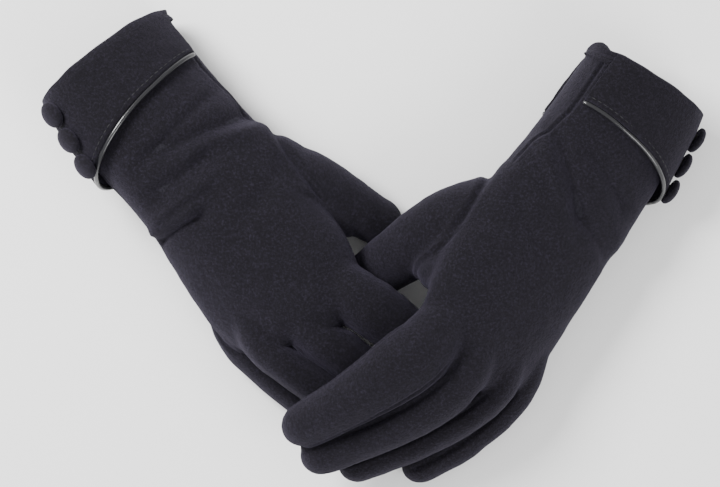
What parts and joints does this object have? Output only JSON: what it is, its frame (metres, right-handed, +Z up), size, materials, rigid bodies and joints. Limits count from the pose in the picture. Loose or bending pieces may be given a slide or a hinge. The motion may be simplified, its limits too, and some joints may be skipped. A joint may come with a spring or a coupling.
{
  "type": "pair of touchscreen gloves",
  "caption": "Pair of fleece-lined knit gloves with turned-back piped cuffs, domed covered buttons and touch fingertips, one crossed over the other, backs up.",
  "frame": {"origin": "middle of the pair's footprint, on the table", "axes": "+Z up from the table, out of the backs of the hands; +X from the right glove to the left glove; +Y towards the cuffs' side of the cross"},
  "size_m": [0.3166, 0.2246, 0.0644],
  "materials": {
    "outer_knit": "brushed napped knit",
    "fourchette_knit": "brushed napped knit",
    "fleece_lining": "short fleece pile",
    "leather_piping": "smooth semi-gloss synthetic leather",
    "button_thread": "wound sewing thread",
    "touch_knit": "fine conductive knit"
  },
  "bodies": {
    "right_hand": {"right_back_panel": "outer_knit", "right_palm_panel": "outer_knit", "right_hand_lining": "fleece_lining", "right_cuff_band": "outer_knit", "right_cuff_piping": "leather_piping", "right_button_1": "outer_knit", "right_button_shank_1": "button_thread", "right_button_2": "outer_knit", "right_button_shank_2": "button_thread", "right_button_3": "outer_knit", "right_button_shank_3": "button_thread"},
    "right_thumb": {"right_thumb_shell": "outer_knit", "right_thumb_lining": "fleece_lining", "right_thumb_touch_pad": "touch_knit"},
    "right_index": {"right_index_shell": "outer_knit", "right_index_lining": "fleece_lining", "right_index_fourchette": "fourchette_knit", "right_index_touch_pad": "touch_knit"},
    "right_middle": {"right_middle_shell": "outer_knit", "right_middle_lining": "fleece_lining", "right_middle_fourchette_thumb_side": "fourchette_knit", "right_middle_fourchette_little_side": "fourchette_knit"},
    "right_ring": {"right_ring_shell": "outer_knit", "right_ring_lining": "fleece_lining", "right_ring_fourchette_thumb_side": "fourchette_knit", "right_ring_fourchette_little_side": "fourchette_knit"},
    "right_little": {"right_little_shell": "outer_knit", "right_little_lining": "fleece_lining", "right_little_fourchette": "fourchette_knit"},
    "left_hand": {"left_back_panel": "outer_knit", "left_palm_panel": "outer_knit", "left_hand_lining": "fleece_lining", "left_cuff_band": "outer_knit", "left_cuff_piping": "leather_piping", "left_button_1": "outer_knit", "left_button_shank_1": "button_thread", "left_button_2": "outer_knit", "left_button_shank_2": "button_thread", "left_button_3": "outer_knit", "left_button_shank_3": "button_thread"},
    "left_thumb": {"left_thumb_shell": "outer_knit", "left_thumb_lining": "fleece_lining", "left_thumb_touch_pad": "touch_knit"},
    "left_index": {"left_index_shell": "outer_knit", "left_index_lining": "fleece_lining", "left_index_fourchette": "fourchette_knit", "left_index_touch_pad": "touch_knit"},
    "left_middle": {"left_middle_shell": "outer_knit", "left_middle_lining": "fleece_lining", "left_middle_fourchette_thumb_side": "fourchette_knit", "left_middle_fourchette_little_side": "fourchette_knit"},
    "left_ring": {"left_ring_shell": "outer_knit", "left_ring_lining": "fleece_lining", "left_ring_fourchette_thumb_side": "fourchette_knit", "left_ring_fourchette_little_side": "fourchette_knit"},
    "left_little": {"left_little_shell": "outer_knit", "left_little_lining": "fleece_lining", "left_little_fourchette": "fourchette_knit"}
  },
  "joints": [
    {"name": "left_glove_draw_off", "type": "slide", "parent": "right_hand", "child": "left_hand", "axis": [0.8617, 0.4468, 0.2404], "range_m": [0, 0.09]},
    {"name": "right_thumb_swing", "type": "hinge", "parent": "right_hand", "child": "right_thumb", "pos_m": [-0.0467, 0.0535, 0.024], "axis": [0, 0, 1], "range_deg": [0, 5]},
    {"name": "right_index_lift", "type": "hinge", "parent": "right_hand", "child": "right_index", "pos_m": [-0.00294, -0.02841, 0.03558], "axis": [-0.5708, -0.8181, -0.0696], "range_deg": [0, 5]},
    {"name": "right_middle_lift", "type": "hinge", "parent": "right_hand", "child": "right_middle", "pos_m": [-0.02649, -0.04389, 0.03346], "axis": [-0.5836, -0.8, -0.1391], "range_deg": [0, 5]},
    {"name": "right_ring_lift", "type": "hinge", "parent": "right_hand", "child": "right_ring", "pos_m": [-0.05022, -0.05139, 0.0309], "axis": [-0.6242, -0.7617, -0.1736], "range_deg": [0, 4]},
    {"name": "right_little_lift", "type": "hinge", "parent": "right_hand", "child": "right_little", "pos_m": [-0.06683, -0.04803, 0.01225], "axis": [-0.508, -0.1675, -0.8449], "range_deg": [0, 3]},
    {"name": "left_thumb_swing", "type": "hinge", "parent": "left_hand", "child": "left_thumb", "pos_m": [0.0223, -0.0175, 0.03], "axis": [0, 0, 1], "range_deg": [0, 4]},
    {"name": "left_index_lift", "type": "hinge", "parent": "left_hand", "child": "left_index", "pos_m": [0.02232, -0.04875, 0.05649], "axis": [-0.6382, 0.7416, 0.2068], "range_deg": [0, 25]},
    {"name": "left_middle_lift", "type": "hinge", "parent": "left_hand", "child": "left_middle", "pos_m": [0.038, -0.06745, 0.04581], "axis": [-0.6329, 0.6171, 0.4676], "range_deg": [0, 25]},
    {"name": "left_ring_lift", "type": "hinge", "parent": "left_hand", "child": "left_ring", "pos_m": [0.05444, -0.07359, 0.03006], "axis": [-0.5225, 0.4953, 0.6941], "range_deg": [0, 25]},
    {"name": "left_little_lift", "type": "hinge", "parent": "left_hand", "child": "left_little", "pos_m": [0.06883, -0.07109, 0.01332], "axis": [-0.5508, 0.2121, 0.8072], "range_deg": [0, 25]}
  ]
}
